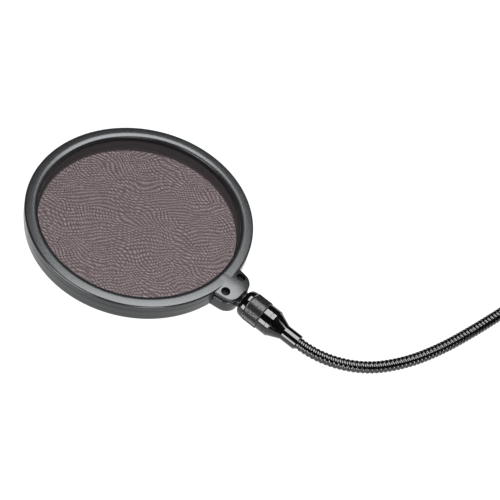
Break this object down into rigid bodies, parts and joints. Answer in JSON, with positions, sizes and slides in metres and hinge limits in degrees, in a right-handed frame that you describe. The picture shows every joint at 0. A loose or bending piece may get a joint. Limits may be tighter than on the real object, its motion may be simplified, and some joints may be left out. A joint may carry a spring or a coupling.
{
  "type": "pop filter",
  "caption": "Round mesh pop filter for a microphone: twin nylon screens in a shell hoop, on a flexible gooseneck arm with a screw clamp for a stand.",
  "frame": {"origin": "centre of the stand tube that the clamp grips, at the clamp's middle height", "axes": "+Z along the gripped tube and out of the front screen at rest; +X along the arm's straight end, away from the clamp; the hoop lies to -Y"},
  "size_m": [0.5563, 0.2917, 0.0289],
  "materials": {
    "hoop_plastic": "satin dark grey moulding",
    "screen_nylon": "fine black nylon mesh",
    "black_steel": "black oxide",
    "knurled_steel": "black, fine diamond knurl",
    "gloss_black": "gloss black",
    "wound_steel": "semi-gloss black over round wire",
    "painted_casting": "satin black powder coat",
    "pad_rubber": "matt black",
    "knob_plastic": "satin black"
  },
  "bodies": {
    "clamp": {"clamp_frame": "painted_casting", "clamp_stud": "black_steel", "jaw_pad": "pad_rubber"},
    "clamp_pad": {"pressure_pad": "black_steel", "pad_facing": "pad_rubber"},
    "clamp_handle": {"clamp_screw": "black_steel", "clamp_knob": "knob_plastic"},
    "arm_nut": {"arm_lock_nut": "knurled_steel"},
    "arm_base": {"rear_fitting": "gloss_black", "gooseneck_01": "wound_steel"},
    "arm_02": {"gooseneck_02": "wound_steel"},
    "arm_03": {"gooseneck_03": "wound_steel"},
    "arm_04": {"gooseneck_04": "wound_steel"},
    "arm_05": {"gooseneck_05": "wound_steel"},
    "arm_06": {"gooseneck_06": "wound_steel"},
    "arm_07": {"gooseneck_07": "wound_steel"},
    "arm_08": {"gooseneck_08": "wound_steel"},
    "arm_09": {"gooseneck_09": "wound_steel"},
    "arm_10": {"gooseneck_10": "wound_steel"},
    "arm_tip": {"gooseneck_11": "wound_steel", "front_fitting": "gloss_black"},
    "hoop": {"front_shell": "hoop_plastic", "rear_shell": "hoop_plastic", "front_screen": "screen_nylon", "rear_screen": "screen_nylon", "spacer_ring": "hoop_plastic", "boss_screw_left": "black_steel", "boss_screw_right": "black_steel", "hoop_stud": "black_steel"},
    "hoop_nut": {"hoop_lock_nut": "knurled_steel"}
  },
  "joints": [
    {"name": "clamp_screw_turn", "type": "hinge", "parent": "clamp_pad", "child": "clamp_handle", "pos_m": [-0.04, 0, 0], "axis": [1, 0, 0], "range_deg": [-720, 1440]},
    {"name": "pad_travel", "type": "slide", "parent": "clamp", "child": "clamp_pad", "axis": [1, 0, 0], "range_m": [-0.004, 0.008]},
    {"name": "arm_nut_turn", "type": "hinge", "parent": "clamp", "child": "arm_nut", "pos_m": [0.033, 0, 0], "axis": [1, 0, 0], "range_deg": [0, 180]},
    {"name": "arm_swivel", "type": "hinge", "parent": "clamp", "child": "arm_base", "pos_m": [0.0697, 0, 0], "axis": [1, 0, 0], "range_deg": [-90, 90]},
    {"name": "arm_lift_01", "type": "hinge", "parent": "arm_base", "child": "arm_02", "pos_m": [0.0997, 0, 0], "axis": [0, -1, 0], "range_deg": [-24, 24]},
    {"name": "arm_turn_02", "type": "hinge", "parent": "arm_02", "child": "arm_03", "pos_m": [0.1297, 0, 0], "axis": [0, 0, 1], "range_deg": [-24, 24]},
    {"name": "arm_lift_03", "type": "hinge", "parent": "arm_03", "child": "arm_04", "pos_m": [0.1597, 0, 0], "axis": [0, -1, 0], "range_deg": [-24, 24]},
    {"name": "arm_turn_04", "type": "hinge", "parent": "arm_04", "child": "arm_05", "pos_m": [0.1897, 0, 0], "axis": [0, 0, 1], "range_deg": [-24, 24]},
    {"name": "arm_lift_05", "type": "hinge", "parent": "arm_05", "child": "arm_06", "pos_m": [0.2197, -0.00013, 0], "axis": [-0.0087, -1, 0], "range_deg": [-24, 24]},
    {"name": "arm_turn_06", "type": "hinge", "parent": "arm_06", "child": "arm_07", "pos_m": [0.2497, -0.00065, 0], "axis": [0, 0, 1], "range_deg": [-24, 24]},
    {"name": "arm_lift_07", "type": "hinge", "parent": "arm_07", "child": "arm_08", "pos_m": [0.27966, -0.00201, 0], "axis": [-0.0645, -0.9979, 0], "range_deg": [-24, 24]},
    {"name": "arm_turn_08", "type": "hinge", "parent": "arm_08", "child": "arm_09", "pos_m": [0.30942, -0.0057, 0], "axis": [0, 0, 1], "range_deg": [-19, 24]},
    {"name": "arm_lift_09", "type": "hinge", "parent": "arm_09", "child": "arm_10", "pos_m": [0.33804, -0.01445, 0], "axis": [-0.4003, -0.9164, 0], "range_deg": [-21, 21]},
    {"name": "arm_turn_10", "type": "hinge", "parent": "arm_10", "child": "arm_tip", "pos_m": [0.36199, -0.0321, 0], "axis": [0, 0, 1], "range_deg": [0, 24]},
    {"name": "hoop_swivel", "type": "hinge", "parent": "arm_tip", "child": "hoop", "pos_m": [0.40394, -0.1914, 0], "axis": [0.2113, -0.9774, 0], "range_deg": [-90, 90]},
    {"name": "hoop_nut_turn", "type": "hinge", "parent": "hoop", "child": "hoop_nut", "pos_m": [0.38295, -0.09435, 0], "axis": [0.2113, -0.9774, 0], "range_deg": [0, 180]}
  ],
  "couplings": [
    {"joint": "clamp_screw_turn", "follows": "pad_travel", "rad_per_m": 3141.6}
  ]
}
